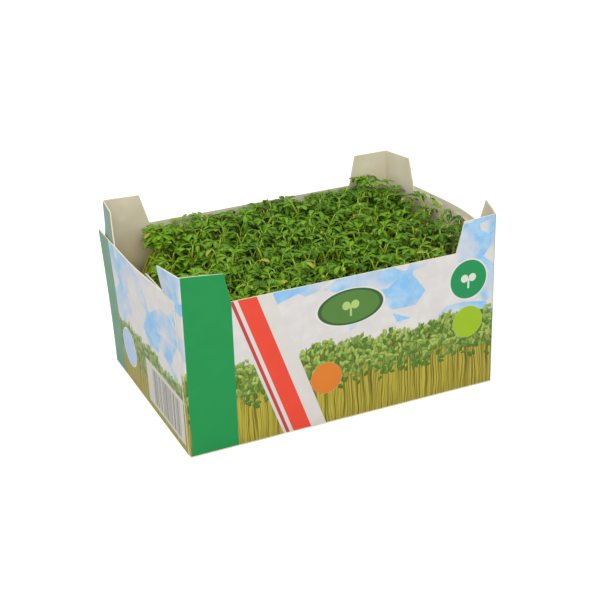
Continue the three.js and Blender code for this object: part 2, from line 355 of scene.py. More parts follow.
def sprout_group():
    """A printed band of sprouts: crowded straight stems under a fringe of small leaves.

    The vector is in millimetres, with the band's foot at 0. Top is where the leaves end.
    """
    graph, given, result = new_group(
        "printed_sprouts", {"Vector": "Vector", "Top": "Float"}, {"Color": "Color", "Mask": "Float"}
    )
    along, up, _ = graph.split(given["Vector"])
    level = graph.math("DIVIDE", up, given["Top"])
    slow = graph.join(graph.math("MULTIPLY", along, 0.11), graph.math("MULTIPLY", up, 0.045))
    sway = graph.noise(slow, 1.0)
    swayed = graph.math("ADD", along, graph.math("MULTIPLY", sway, 4.0))
    streak = graph.noise(graph.join(swayed, graph.math("MULTIPLY", up, 0.012)), 1.7, 2.0, 0.6)
    tone = graph.noise(graph.join(swayed, 3.0), 0.35, 1.0)
    stem_dark = graph.mix(tone, paint("4e4204"), paint("6c6316"))
    stem_bright = graph.mix(tone, paint("9c8b20"), paint("c0b544"))
    stems = graph.mix(graph.rise(streak, 0.36, 0.58), stem_dark, stem_bright)
    colour = graph.mix(graph.rise(level, 0.45, 0.7), stems, graph.mix(0.72, stems, paint("2f480f")))
    hills = graph.noise(graph.join(graph.math("MULTIPLY", along, 0.06), 7.0), 1.0, 3.0, 0.6)
    crest = graph.math("ADD", 0.62, graph.math("MULTIPLY", hills, 0.5))
    below = graph.math("SUBTRACT", crest, level)
    mask = graph.rise(below, 0.0, 0.04)
    for turn, shift, long, short in (
        (0.6, 11.0, 3.7, 2.0),
        (-0.8, 53.0, 3.4, 1.9),
        (1.2, 71.0, 3.5, 1.8),
        (0.1, 27.0, 3.2, 1.8),
        (-1.2, 5.0, 2.9, 1.6),
    ):
        shape, shade, draw, height = leaf_layer(graph, given["Vector"], turn, shift, long, short)
        share = graph.math("DIVIDE", height, given["Top"])
        lowest = graph.rise(share, 0.34, 0.62, 0.0, 0.62)
        limit = graph.math("ADD", crest, graph.math("MULTIPLY", draw, 0.07))
        kept = graph.math("LESS_THAN", share, limit)
        shown = graph.times(shape, kept, graph.math("LESS_THAN", draw, lowest))
        leaf = graph.mix(graph.rise(draw, 0.0, 0.62), paint("46721a"), paint("a3b654"))
        leaf = graph.mix(shade, graph.mix(0.6, leaf, paint("2f4c0c")), leaf)
        colour = graph.mix(shown, colour, leaf)
        mask = graph.math("MAXIMUM", mask, shown)
    graph.tree.links.new(colour, result["Color"])
    graph.tree.links.new(mask, result["Mask"])
    return graph.tree


def print_material(name, groups, draw):
    """Coated board with a print, whose map is in millimetres: draw(graph, spot, along, up) colours it."""
    material, graph, shader = new_material(name, Specular_IOR_Level=0.32, Coat_Weight=0.04)
    spot = graph.node("ShaderNodeUVMap", uv_map="print").outputs[0]
    along, up, _ = graph.split(spot)
    colour = draw(graph, spot, along, up)
    fibre = graph.group(groups["fibre"], Vector=spot, Scale=0.12)
    worn = graph.rise(fibre["Mottle"], 0.25, 0.8, 0.965, 1.02)
    colour = graph.mix(1.0, colour, graph.join(worn, worn, worn), "MULTIPLY")
    rough = graph.rise(fibre["Mottle"], 0.2, 0.8, 0.34, 0.46)
    normal = graph.bump(fibre["Tooth"], 0.25, 0.00004)
    feed(graph, shader, Base_Color=colour, Roughness=rough, Normal=normal)
    return material


def disc(graph, along, up, centre, radius, soft=0.12):
    """A mask of 1 inside a circle."""
    x = graph.math("SUBTRACT", along, centre[0])
    y = graph.math("SUBTRACT", up, centre[1])
    length = graph.node("ShaderNodeVectorMath", {0: graph.join(x, y)}, operation="LENGTH")
    return graph.rise(length.outputs["Value"], radius + soft, radius - soft)


def sprig(graph, along, up, centre, size):
    """A mask of a plain sprig: a short stem under two round leaves."""
    x, y = centre
    left = disc(graph, along, up, (x - 0.42 * size, y + 0.25 * size), 0.4 * size)
    right = disc(graph, along, up, (x + 0.42 * size, y + 0.25 * size), 0.4 * size)
    stem = graph.times(
        graph.band(along, x - 0.1 * size, x + 0.1 * size, 0.1),
        graph.band(up, y - 0.8 * size, y + 0.2 * size, 0.1),
    )
    return graph.math("MAXIMUM", graph.math("MAXIMUM", left, right), stem)


def badge(graph, colour, along, up, shape, fill):
    """Lays a plain round badge with a pale rim over the print."""
    rim = disc(graph, along, up, shape["centre"], shape["radius"] + shape["rim"])
    colour = graph.mix(rim, colour, paint("d9d6cf"))
    return graph.mix(disc(graph, along, up, shape["centre"], shape["radius"]), colour, paint(fill))


def wall_print(groups):
    """The print of the long walls: sky, sprouts, a green corner band, slanting stripes and plain badges.

    Its places are millimetres along and up the wall.
    """
    green_edge = -46.4
    corner = 65.4
    sprout_top = 38.0
    stripe_slope = 0.34
    stripes = {"cfcac4": (-27.6, -9.4), "b83a36": (-26.4, -25.0), "df432c": (-23.4, -15.8)}
    oval = {"centre": (2.0, 48.0), "radius": 14.0, "inner": 12.4, "rim": 0.8, "squash": 1.9}
    badges = {
        "12884a": {"centre": (54.0, 48.5), "radius": 8.2, "rim": 0.6},
        "93b414": {"centre": (54.0, 30.0), "radius": 6.8, "rim": 0.0},
        "d2761f": {"centre": (-9.0, 20.0), "radius": 6.6, "rim": 0.0},
    }
    sprigs = {
        "a9bf6a": {"centre": (2.0, 47.6), "size": 4.4},
        "cfd6c4": {"centre": (54.0, 48.0), "size": 4.2},
    }

    def draw(graph, spot, along, up):
        colour = graph.group(groups["clouds"], Vector=spot)["Color"]
        sprouts = graph.group(groups["sprouts"], Vector=spot, Top=sprout_top)
        colour = graph.mix(sprouts["Mask"], colour, sprouts["Color"])
        slanted = graph.math("ADD", along, graph.math("MULTIPLY", up, stripe_slope))
        for tone, (low, high) in stripes.items():
            colour = graph.mix(graph.band(slanted, low, high, 0.1), colour, paint(tone))
        middle = oval["centre"][1]
        stretched = graph.math("MULTIPLY", graph.math("SUBTRACT", up, middle), oval["squash"])
        stretched = graph.math("ADD", stretched, middle)
        colour = badge(graph, colour, along, stretched, oval, "35592a")
        inner = disc(graph, along, stretched, oval["centre"], oval["inner"])
        colour = graph.mix(inner, colour, paint("4d7a33"))
        for tone, round_badge in badges.items():
            colour = badge(graph, colour, along, up, round_badge, tone)
        for tone, mark in sprigs.items():
            shape = sprig(graph, along, up, mark["centre"], mark["size"])
            colour = graph.mix(shape, colour, paint(tone))
        colour = graph.mix(graph.rise(along, corner, corner + 0.4), colour, paint("6f8f7c"))
        return graph.mix(graph.band(along, -corner, green_edge, 0.08), colour, paint("108944"))

    return print_material("wall_print", groups, draw)


def end_print(groups):
    """The print of the end panels: sky, sprouts, a green strip at the back and a label with plain bars.

    Its places are millimetres along and up the panel.
    """
    sprout_top = 32.0
    green_edge = 32.6
    label = {"front": -41.5, "back": 0.5, "low": 3.0, "high": 22.5}
    bars = {"front": 4, "back": 7, "low": 1.5, "high": 2}
    blue_badge = {"centre": (22.0, 17.0), "radius": 8.0, "rim": 0.6}

    def draw(graph, spot, along, up):
        elsewhere = graph.mapped(spot, Location=(37, 11, 0))
        colour = graph.group(groups["clouds"], Vector=elsewhere)["Color"]
        sprouts = graph.group(groups["sprouts"], Vector=spot, Top=sprout_top)
        colour = graph.mix(sprouts["Mask"], colour, sprouts["Color"])
        colour = graph.mix(graph.rise(along, green_edge, green_edge + 0.2), colour, paint("568c6c"))
        colour = badge(graph, colour, along, up, blue_badge, "a9bfdb")
        on_label = graph.times(
            graph.band(along, label["front"], label["back"], 0.08),
            graph.band(up, label["low"], label["high"], 0.08),
        )
        colour = graph.mix(on_label, colour, paint("c8c3b6"))
        on_bars = graph.times(
            graph.band(along, label["front"] + bars["front"], label["back"] - bars["back"], 0.05),
            graph.band(up, label["low"] + bars["low"], label["high"] - bars["high"], 0.05),
            graph.rise(graph.noise(graph.join(along, 0.0), 1.5, 0.0), 0.5, 0.52),
        )
        return graph.mix(on_bars, colour, paint("55555a"))

    return print_material("end_print", groups, draw)


def board_material(name, groups, light, dark, rough, dampness_and_painted_light=None):
    """Bare board: grey-beige, mottled, with a fine tooth. When tints are given, a warm painted bounce light
    lies lower down, and below it a darker tint that is partly staining from dampness and partly painted
    shade.
    """
    material, graph, shader = new_material(name, Specular_IOR_Level=0.25, Roughness=rough)
    place = graph.node("ShaderNodeTexCoord").outputs["Object"]
    fibre = graph.group(groups["fibre"], Vector=place, Scale=120.0)
    colour = graph.mix(graph.rise(fibre["Mottle"], 0.2, 0.8), paint(dark), paint(light))
    speck = graph.rise(graph.noise(place, 900.0, 2.0), 0.66, 0.74, 0.0, 0.25)
    colour = graph.mix(speck, colour, paint("9a8f7a"))
    if dampness_and_painted_light:
        height = graph.split(place)[2]
        # Painted bounce light gives a warm tint from the bed's top down; below it a dark tint is partly
        # staining from dampness and partly painted shade.
        warm = graph.rise(height, dampness_and_painted_light["clean_above"], dampness_and_painted_light["stain_and_shade_from"])
        stain_and_shade_share = graph.rise(height, dampness_and_painted_light["stain_and_shade_from"], dampness_and_painted_light["stain_and_shade_full"])
        colour = graph.mix(warm, colour, paint(dampness_and_painted_light["warm"]))
        colour = graph.mix(stain_and_shade_share, colour, paint(dampness_and_painted_light["stain_and_shade_tint"]))
    feed(graph, shader, Base_Color=colour, Normal=graph.bump(fibre["Tooth"], 0.5, 0.00006))
    return material


def leaf_material():
    """Cress leaf: mid green, paler along the rib and below, some leaves yellowing.

    Painted light makes the bed paler at its left end; painted shade makes it deeper green in its front
    right corner and darkens the leaves low in the bed.
    """
    material, graph, shader = new_material(
        "cress_leaf", Specular_IOR_Level=0.13, Subsurface_Weight=0.1, Subsurface_Scale=0.001
    )
    shader.inputs["Subsurface Radius"].default_value = (0.5, 1.0, 0.2)
    tint = graph.node("ShaderNodeAttribute", attribute_name="tint").outputs["Fac"]
    place = graph.node("ShaderNodeTexCoord").outputs["Object"]
    across, along, _ = graph.split(graph.node("ShaderNodeUVMap", uv_map="leaf").outputs[0])
    mottle = graph.noise(place, 420.0, 3.0, 0.6)
    x, y, z = graph.split(place)
    # Painted light makes the leaves paler towards the left end, and painted shade makes them deeper green
    # in the front right corner.
    paler = graph.rise(x, *PAINTED_LIGHT_END, 0.0, 0.6)
    deeper = graph.times(graph.rise(x, *PAINTED_SHADE_CORNER["x"], 0.0, -0.4), graph.rise(y, *PAINTED_SHADE_CORNER["y"]))
    tone = graph.math("ADD", tint, graph.math("ADD", paler, deeper))
    green = graph.mix(graph.rise(tone, 0.0, 0.9), paint("285606"), paint("6d9d18"))
    green = graph.mix(graph.rise(mottle, 0.3, 0.8, 0.0, 0.35), green, paint("7a9c2c"))
    off_rib = graph.math("ABSOLUTE", graph.math("SUBTRACT", across, 0.5))
    rib = graph.rise(off_rib, 0.1, 0.0, 0.0, 0.55)
    green = graph.mix(rib, green, paint("8eb638"))
    base = graph.rise(along, 0.28, 0.0, 0.0, 0.5)
    green = graph.mix(base, green, paint("92ae14"))
    up = graph.split(graph.node("ShaderNodeNewGeometry").outputs["Normal"])[2]
    green = graph.mix(graph.rise(up, 0.1, -0.4, 0.0, 0.4), green, paint("6e9014"))
    # Painted shade darkens the leaves that are low in the bed.
    low = graph.rise(z, *LEAF_PAINTED_SHADE, 0.0, 0.5)
    green = graph.mix(low, green, paint("1c3a02"))
    green = graph.mix(graph.rise(tint, 0.985, 0.99), green, paint("a3a83a"))
    rough = graph.rise(mottle, 0.3, 0.7, 0.42, 0.58)
    veins = graph.rise(off_rib, 0.0, 0.16)
    feed(graph, shader, Base_Color=green, Roughness=rough, Normal=graph.bump(veins, 0.5, 0.00012))
    return material


def stem_material():
    """Cress stem: brownish at the foot, pale yellow-green, greener at the top."""
    material, graph, shader = new_material(
        "cress_stem",
        Specular_IOR_Level=0.25,
        Subsurface_Weight=0.15,
        Subsurface_Scale=0.001,
        Roughness=0.42,
    )
    shader.inputs["Subsurface Radius"].default_value = (0.6, 1.0, 0.3)
    place = graph.node("ShaderNodeTexCoord").outputs["Object"]
    height = graph.split(place)[2]
    tint = graph.node("ShaderNodeAttribute", attribute_name="tint").outputs["Fac"]
    colour = graph.mix(graph.rise(height, *STEM_BROWN), paint("7d6520"), paint("b4b634"))
    colour = graph.mix(graph.rise(height, *STEM_GREEN), colour, paint("95b02a"))
    colour = graph.mix(graph.math("MULTIPLY", tint, 0.35), colour, paint("6d8f30"))
    streak = graph.noise(graph.mapped(place, Scale=(1, 1, 0.12)), 1400.0, 2.0)
    colour = graph.mix(graph.rise(streak, 0.4, 0.8, 0.0, 0.3), colour, paint("c3c868"))
    feed(graph, shader, Base_Color=colour)
    return material


def medium_material():
    """Damp dark growing medium with pale fibres."""
    material, graph, shader = new_material("growing_medium", Specular_IOR_Level=0.3)
    place = graph.node("ShaderNodeTexCoord").outputs["Object"]
    lumps = graph.noise(place, 260.0, 4.0, 0.65)
    fibres = graph.noise(graph.mapped(place, Scale=(1, 0.15, 1)), 900.0, 3.0, 0.6, 1.5)
    colour = graph.mix(lumps, paint("23180f"), paint("5a4028"))
    colour = graph.mix(graph.rise(fibres, 0.62, 0.72, 0.0, 0.7), colour, paint("a58a5c"))
    rough = graph.rise(lumps, 0.3, 0.7, 0.75, 0.95)
    feed(graph, shader, Base_Color=colour, Roughness=rough, Normal=graph.bump(lumps, 0.8, 0.0006))
    return material


def seed_material():
    """Empty seed coats: glossy reddish brown, or pale yellow where they sit in the light."""
    material, graph, shader = new_material("seed_coat", Specular_IOR_Level=0.5, Roughness=0.35)
    place = graph.node("ShaderNodeTexCoord").outputs["Object"]
    tint = graph.node("ShaderNodeAttribute", attribute_name="tint").outputs["Fac"]
    colour = graph.mix(graph.rise(tint, 0.3, 0.9), paint("7a4a22"), paint("c39a3c"))
    blotch = graph.rise(graph.noise(place, 1500.0), 0.4, 0.8, 0.0, 0.4)
    colour = graph.mix(blotch, colour, paint("4a2b14"))
    colour = graph.mix(graph.rise(tint, 0.85, 0.95, 0.0, 0.9), colour, paint("a8aa35"))
    feed(graph, shader, Base_Color=colour)
    return material


# Pieces

def finish_piece(bm, name, materials, smooth=True):
    """Turns a bmesh into a piece of the object that rides on its one body."""
    mesh = bpy.data.meshes.new(name)
    for face in bm.faces:
        face.smooth = smooth
    bm.to_mesh(mesh)
    bm.free()
    piece = bpy.data.objects.new(name, mesh)
    bpy.context.scene.collection.objects.link(piece)
    for material in materials:
        mesh.materials.append(material)
    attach(piece, "root")
    return piece


def end_bulge(side, y, z):
    """How far an end of the carton bows outwards."""
    if side < 0:
        return 0.0
    along = 1 - (y / HALF_DEPTH) ** 2
    share = max(min(z, END_HEIGHT), 0.0) / END_HEIGHT
    return RIGHT_BULGE["top"] * max(along, 0.0) * share ** RIGHT_BULGE["power"]


def panel_lean(side, y, z):
    """How far the left end panel has come away at its top."""
    if side > 0:
        return 0.0
    share = max(z, 0.0) / END_HEIGHT
    return LEFT_LEAN["top"] * smoothstep(y, *LEFT_LEAN["zone"]) * share ** LEFT_LEAN["power"]


def flat_sheet(low, high, step):
    """A flat sheet in the X-Y plane from low to high, cut into squares of about one step."""
    bm = bmesh.new()
    bmesh.ops.create_grid(bm, x_segments=1, y_segments=1, size=0.5)
    spans = (high[0] - low[0], high[1] - low[1])
    centre = ((low[0] + high[0]) / 2, (low[1] + high[1]) / 2, 0)
    bmesh.ops.scale(bm, vec=(*spans, 1), verts=bm.verts)
    bmesh.ops.translate(bm, vec=centre, verts=bm.verts)
    for axis in (0, 1):
        count = round(spans[axis] / step)
        for i in range(1, count):
            cut(bm, axis, low[axis] + spans[axis] * i / count)
    return bm


def cut(bm, axis, place):
    """Cuts a flat sheet all the way across, at a place along one of its axes."""
    point, normal = Vector(), Vector()
    point[axis] = place
    normal[axis] = 1
    slice_along(bm, bm.faces, point, normal)


def slice_along(bm, faces, point, normal):
    """Cuts some faces of a sheet where a plane meets them."""
    faces = list(faces)
    parts = list({*faces, *(e for f in faces for e in f.edges), *(v for f in faces for v in f.verts)})
    bmesh.ops.bisect_plane(bm, geom=parts, plane_co=point, plane_no=normal, dist=1e-7)


def trim(bm, start, end, drop):
    """Cuts a flat sheet along the line from start to end, and drops the faces that drop(x, y) names."""
    start, end = Vector((*start, 0)), Vector((*end, 0))
    normal = (end - start).cross(Vector((0, 0, 1)))
    near = [f for f in bm.faces if f.calc_center_median().y > start.y - 1e-6]
    slice_along(bm, near, start, normal)
    bmesh.ops.delete(bm, geom=[f for f in bm.faces if drop(*f.calc_center_median().xy)], context="FACES")


def side_of(point, start, end):
    """Positive on the left of the line from start to end, and negative on its right."""
    return (end[0] - start[0]) * (point[1] - start[1]) - (end[1] - start[1]) * (point[0] - start[0])


def store_map(bm, end):
    """Keeps the flat wall's own places for the print, in millimetres and as seen from outside."""
    layer = bm.loops.layers.uv.new("print")
    for face in bm.faces:
        for loop in face.loops:
            loop[layer].uv = (-end * loop.vert.co.x / MM, loop.vert.co.y / MM)


def wall_sheet(end):
    """A long wall with its posts, their legs and the glue webs, as one flat blank that is then folded."""
    reach = HALF_WIDTH + WEB_LENGTH
    bm = flat_sheet((-reach, 0.0), (reach, POST_HEIGHT), SHEET_STEP)
    for side in (-1, 1):
        for offset in (-1, -0.5, 0, 0.5, 1):
            cut(bm, 0, side * (HALF_WIDTH + offset * FOLD_RADIUS))
    cut(bm, 1, WALL_HEIGHT)
    for height in (0.3, 1):
        cut(bm, 1, height * FOLD_RADIUS)
    for side in (-1, 1):
        post = POSTS[(side, end)]
        inner = post_edge(side, HALF_WIDTH - post["face_base"], HALF_WIDTH - post["face_top"])
        outer = post_edge(side, HALF_WIDTH + LEG_BASE, HALF_WIDTH + LEG_TOP)
        trim(bm, *inner, lambda x, y: beside_post(x, y, side, inner) > 0)
        trim(bm, *outer, lambda x, y: beside_post(x, y, side, outer) < 0)
    store_map(bm, end)
    for vert in bm.verts:
        vert.co = folded_wall(end, vert.co.x, vert.co.y)
    return bm


def post_edge(side, base, top):
    """The slanting edge of a post on the flat wall, from the wall's top edge to the post's top."""
    return (side * base, WALL_HEIGHT), (side * top, POST_HEIGHT)


def beside_post(x, y, side, edge):
    """Above 0 on one side of a post's slanting edge, below 0 on the other, and 0 below the post."""
    if y <= WALL_HEIGHT or side * x < 0:
        return 0.0
    return side * side_of((x, y), *edge)


def folded_wall(end, s, z):
    """Where a point of a flat wall blank lies once folded, at s along it from the wall's middle."""
    side = 1 if s > 0 else -1
    along = abs(s)
    if along <= HALF_WIDTH - FOLD_RADIUS:
        x, reach = along, 0.0
    elif along < HALF_WIDTH + FOLD_RADIUS:
        turn = (along - HALF_WIDTH + FOLD_RADIUS) / (2 * FOLD_RADIUS) * math.pi / 2
        x = HALF_WIDTH - FOLD_RADIUS + FOLD_RADIUS * math.sin(turn)
        reach = FOLD_RADIUS - FOLD_RADIUS * math.cos(turn)
    else:
        x, reach = HALF_WIDTH, along - HALF_WIDTH
    on_face = max(0.0, 1 - reach / (0.3 * FOLD_RADIUS))
    if z < FOLD_RADIUS:
        reach += on_face * (FOLD_RADIUS - math.sqrt(max(FOLD_RADIUS ** 2 - (FOLD_RADIUS - z) ** 2, 0.0)))
    if z < SHEET_STEP:
        z += (1 - on_face) * LEG_FOOT * (1 - z / SHEET_STEP)
    y = end * (HALF_DEPTH - reach)
    rise = max(0.0, z - WALL_HEIGHT) / (POST_HEIGHT - WALL_HEIGHT)
    post = POSTS[(side, end)]
    if reach < FOLD_RADIUS:
        inward = min(max((HALF_WIDTH - x) / post["face_top"], 0.0), 1.0)
        z -= post["drop"] * rise * inward ** 1.2
    on_leg = min(reach / LEG_TOP, 1.3)
    on_web = smoothstep(reach, 0, WEB_EASE)
    level = min(z, WALL_HEIGHT)
    lean = panel_lean(side, y, level) * on_web if end > 0 else 0.0
    bulge = end_bulge(side, y, z) * (reach > 0)
    x += bulge + mix(lean - WEB_INSET * on_web, post["splay"] * on_leg, rise)
    return Vector((side * x, y, z))


def cradle_sheet():
    """The floor and the two end panels that fold up from it, as one flat blank that is then folded."""
    reach = PANEL_OUT + END_HEIGHT
    bm = flat_sheet((-reach, -HALF_DEPTH), (reach, HALF_DEPTH), SHEET_STEP)
    for side in (-1, 1):
        for offset in (-1, -0.5, 0, 0.5, 1):
            cut(bm, 0, side * (PANEL_OUT + offset * FOLD_RADIUS))
        foot = (side * PANEL_OUT, -HALF_DEPTH + PANEL_INSET["front"])
        head = (side * reach, foot[1] + PANEL_INSET["taper"])
        normal = Vector((*head, 0)) - Vector((*foot, 0))
        panel = [f for f in bm.faces if side * f.calc_center_median().x > PANEL_OUT]
        slice_along(bm, panel, Vector((*foot, 0)), normal.cross(Vector((0, 0, 1))))
        drop = [
            f for f in bm.faces
            if side * f.calc_center_median().x > PANEL_OUT
            and side * side_of(f.calc_center_median().xy, foot, head) < 0
        ]
        bmesh.ops.delete(bm, geom=drop, context="FACES")
    return bm


def folded_cradle(x, y):
    """Where a point of the flat floor and end panels lies once folded."""
    side = 1 if x > 0 else -1
    along = abs(x)
    if along <= PANEL_OUT - FOLD_RADIUS:
        return Vector((x, y, 0.0))
    if along < PANEL_OUT + FOLD_RADIUS:
        turn = (along - PANEL_OUT + FOLD_RADIUS) / (2 * FOLD_RADIUS) * math.pi / 2
        out = PANEL_OUT - FOLD_RADIUS + FOLD_RADIUS * math.sin(turn)
        z = FOLD_RADIUS - FOLD_RADIUS * math.cos(turn)
    else:
        out, z = PANEL_OUT, along - PANEL_OUT
    out += end_bulge(side, y, z) + panel_lean(side, y, z)
    if side > 0:
        rise = mix(RIGHT_RISE["back"], RIGHT_RISE["front"], smoothstep(-y, *RIGHT_RISE["zone"]))
        z += rise * (z / END_HEIGHT) ** 2
    return Vector((side * out, y, z))


def fold_cradle(bm):
    """Folds the cradle's blank, and gives its panels a map of depth and height in millimetres."""
    layer = bm.loops.layers.uv.new("print")
    for face in bm.faces:
        middle = face.calc_center_median()
        on_panel = abs(middle.x) > PANEL_OUT
        face.material_index = 1 if on_panel else 2
        for loop in face.loops:
            flat = loop.vert.co
            side = math.copysign(1, middle.x)
            loop[layer].uv = (-side * flat.y / MM, (abs(flat.x) - PANEL_OUT) / MM)
    for vert in bm.verts:
        vert.co = folded_cradle(vert.co.x, vert.co.y)


def carton_piece(materials):
    """The folded carton: two wall blanks and the cradle, joined, with the board's thickness inwards."""
    whole = bmesh.new()
    for end in (-1, 1):
        bm = wall_sheet(end)
        if end > 0:
            bmesh.ops.reverse_faces(bm, faces=bm.faces)
        add_sheet(whole, bm)
    cradle = cradle_sheet()
    fold_cradle(cradle)
    bmesh.ops.reverse_faces(cradle, faces=cradle.faces)
    add_sheet(whole, cradle)
    for edge in whole.edges:
        edge.smooth = not edge.is_boundary
    piece = finish_piece(whole, "folded_carton", materials)
    wall = piece.modifiers.new("board", "SOLIDIFY")
    wall.thickness = BOARD
    wall.offset = -1
    wall.material_offset = 3
    wall.material_offset_rim = 6
    return piece


def add_sheet(whole, bm):
    """Moves one bmesh into the bmesh of the whole piece."""
    mesh = as_mesh(bm)
    whole.from_mesh(mesh)
    bpy.data.meshes.remove(mesh)


def as_mesh(bm):
    """A mesh made from a bmesh, which is freed."""
    mesh = bpy.data.meshes.new("sheet")
    bm.to_mesh(mesh)
    bm.free()
    return mesh


def lumpy_block(low, high, step, base, top, lumps):
    """A block with a flat foot at the height of its base and a lumpy top."""
    bm = flat_sheet(low, high, step)
    surface = bm.verts[:]
    walls = bmesh.ops.extrude_edge_only(bm, edges=[e for e in bm.edges if e.is_boundary])
    for vert in walls["geom"]:
        if isinstance(vert, bmesh.types.BMVert):
            vert.co.z = base
    for vert in surface:
        lump = noise.noise(vert.co / lumps["wide"]) * lumps["high"]
        vert.co.z = top - lumps["sunk"] + lump
    bmesh.ops.contextual_create(bm, geom=[e for e in bm.edges if e.is_boundary])
    return bm


def pad_piece(material):
    """The growing pad: a block with rounded corners and a lumpy top."""
    bm = lumpy_block((-PAD_HALF[0], -PAD_HALF[1]), PAD_HALF, 3 * MM, PAD_BASE, PAD_TOP, PAD_LUMPS)
    bmesh.ops.bevel(
        bm,
        geom=[e for e in bm.edges if all(at_pad_corner(v.co) for v in e.verts)],
        offset=PAD_CORNER,
        offset_type="OFFSET",
        affect="EDGES",
        segments=4,
        profile=0.5,
        material=-1,
    )
    bmesh.ops.recalc_face_normals(bm, faces=bm.faces)
    piece = finish_piece(bm, "pad", [material], smooth=False)
    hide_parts("growing_pad")
    return piece


def at_pad_corner(point):
    """Whether a point of the pad is at one of its upright corners."""
    return all(abs(abs(point[axis]) - PAD_HALF[axis]) < 1e-6 for axis in (0, 1))


# Seedlings

def chance(column, row, use):
    """A number from 0 to 1 for each seedling, the same on each run. Use tells a seedling's draws apart."""
    wave = math.sin(column * 12.9898 + row * 78.233 + use * 37.719) * 43758.5453
    return wave - math.floor(wave)


def spread(value, reach):
    """Turns a number from 0 to 1 into one from minus reach to reach."""
    return (value - 0.5) * 2 * reach


def left_hollow(x, y):
    """1 in the middle of the bed's left edge, where it is low and thin and the stems behind it show."""
    along = smoothstep(y, *HOLLOW["front"]) - smoothstep(y, *HOLLOW["back"])
    return smoothstep(-x, *HOLLOW["x"]) * along


def thinned(foot):
    """The share of the loose seedlings that is missing about a place, where dark gaps show."""
    left = smoothstep(-foot.x, *ZONES["thin_left"])
    front = smoothstep(-foot.y, *ZONES["thin_front"])
    right = smoothstep(foot.x, *ZONES["thin_right"])
    right_front = right * smoothstep(-foot.y, *ZONES["thin_right_front"])
    share = THINNED["left"] * left + THINNED["front"] * front + THINNED["right_front"] * right_front
    return max(THINNED["hollow"] * left_hollow(foot.x, foot.y), share)


def seedling_place(column, row, extra):
    """A seedling's foot, its head and how it is turned.

    Extra 0 is the seedling of the staggered grid, and the higher ones stand loosely about it.
    """
    x, y = foot_place(column, row, extra)
    lean_x, lean_y = head_lean(x, y, column, row, extra)
    corner = smoothstep(y, *ZONES["back_corner"])
    left_limit = mix(LEFT_LIMIT["middle"], LEFT_LIMIT["corner"], corner)
    head = Vector((max(x + lean_x, left_limit), y + lean_y, head_height(x, y, column, row, extra)))
    yaw = math.tau * chance(column, row, 6 + 10 * extra)
    return Vector((x, y, FELT_TOP - MM)), head, yaw


def foot_place(column, row, extra):
    """Where a seedling stands in the bed."""
    step_x = BED[0] / CLUMP_COLUMNS / 2
    step_y = BED[1] / CLUMP_ROWS / 2
    stagger = (row % 2) / 2 - 0.25
    x = (column + 0.5 + stagger - CLUMP_COLUMNS) * step_x + spread(chance(column, row, 1), JITTER["foot"])
    y = (row + 0.5 - CLUMP_ROWS) * step_y + spread(chance(column, row, 2), JITTER["foot"])
    if extra:
        turn = math.tau * (extra + 0.6 * chance(column, row, 10 * extra)) / EXTRA_SEEDLINGS
        x += step_x * LOOSE_REACH[0] * math.cos(turn)
        y += step_y * LOOSE_REACH[1] * math.sin(turn)
        x = min(max(x, -BED[0] / 2 + MM), BED[0] / 2 - MM)
        y = min(max(y, -BED[1] / 2 + MM), BED[1] / 2 - MM)
    return x, y


def head_lean(x, y, column, row, extra):
    """How far a seedling's head stands from over its foot: away from the left end and the back wall."""
    left = smoothstep(-x, *ZONES["left"])
    right = smoothstep(x, *ZONES["right"])
    back = smoothstep(y, *ZONES["back"])
    lean_x = LEAN["from_left"] * left + LEAN["to_right"] * right
    lean_x += spread(chance(column, row, 3 + 10 * extra), JITTER["lean_x"])
    if extra:
        lean_x += EXTRA_LEAN * left * (1 + back)
    lean_y = -back * (LEAN["from_back"] + LEAN["from_corner"] * left)
    lean_y += spread(chance(column, row, 4 + 10 * extra), JITTER["lean_y"])
    return lean_x, lean_y


def head_height(x, y, column, row, extra):
    """How high a seedling's head is. The loose ones are lower, but less so in the even parts of the bed."""
    left = smoothstep(-x, *ZONES["left"])
    right = smoothstep(x, *ZONES["right"])
    back_row = smoothstep(y, *ZONES["back_row"])
    back_part = smoothstep(y, *ZONES["back_part"])
    dip = right * mix(CANOPY_DIP["right_front"], CANOPY_DIP["right_back"], back_part)
    dip += CANOPY_DIP["left"] * left * (1 - back_row) + HOLLOW["depth"] * left_hollow(x, y)
    level = CANOPY_HEIGHT + CANOPY_RISE * y / HALF_DEPTH - dip
    sink = mix(BACK_ROW["sink_left"], BACK_ROW["sink_right"], smoothstep(x, *ZONES["sink_turn"]))
    level -= sink * back_row
    if extra:
        drop = EXTRA_DROP["least"] + EXTRA_DROP["depth"] * chance(column, row, 10 * extra + 1)
        even = max(EXTRA_DROP["even"] * max(back_row, right * back_part), EXTRA_DROP["even_left"] * left)
        level -= drop * (1 - even)
    unevenness = JITTER["top"] * (1 - BACK_ROW["calm"] * back_row)
    top = level + spread(chance(column, row, 5 + 10 * extra), unevenness)
    below_wall = BACK_ROW["below_edge"] + sink
    return min(top, WALL_HEIGHT + BACK_ROW["slope"] * (HALF_DEPTH - y) - below_wall)


def stick_template(sides, cuts):
    """An upright stick of radius 1 and height 1 with a few cuts along it, as a mesh to copy."""
    bm = bmesh.new()
    bmesh.ops.create_cone(bm, cap_ends=True, segments=sides, radius1=1, radius2=1, depth=1)
    upright = [e for e in bm.edges if abs(e.verts[0].co.z - e.verts[1].co.z) > 0.5]
    bmesh.ops.subdivide_edges(bm, edges=upright, cuts=cuts)
    bmesh.ops.translate(bm, vec=(0, 0, 0.5), verts=bm.verts)
    return as_mesh(bm)


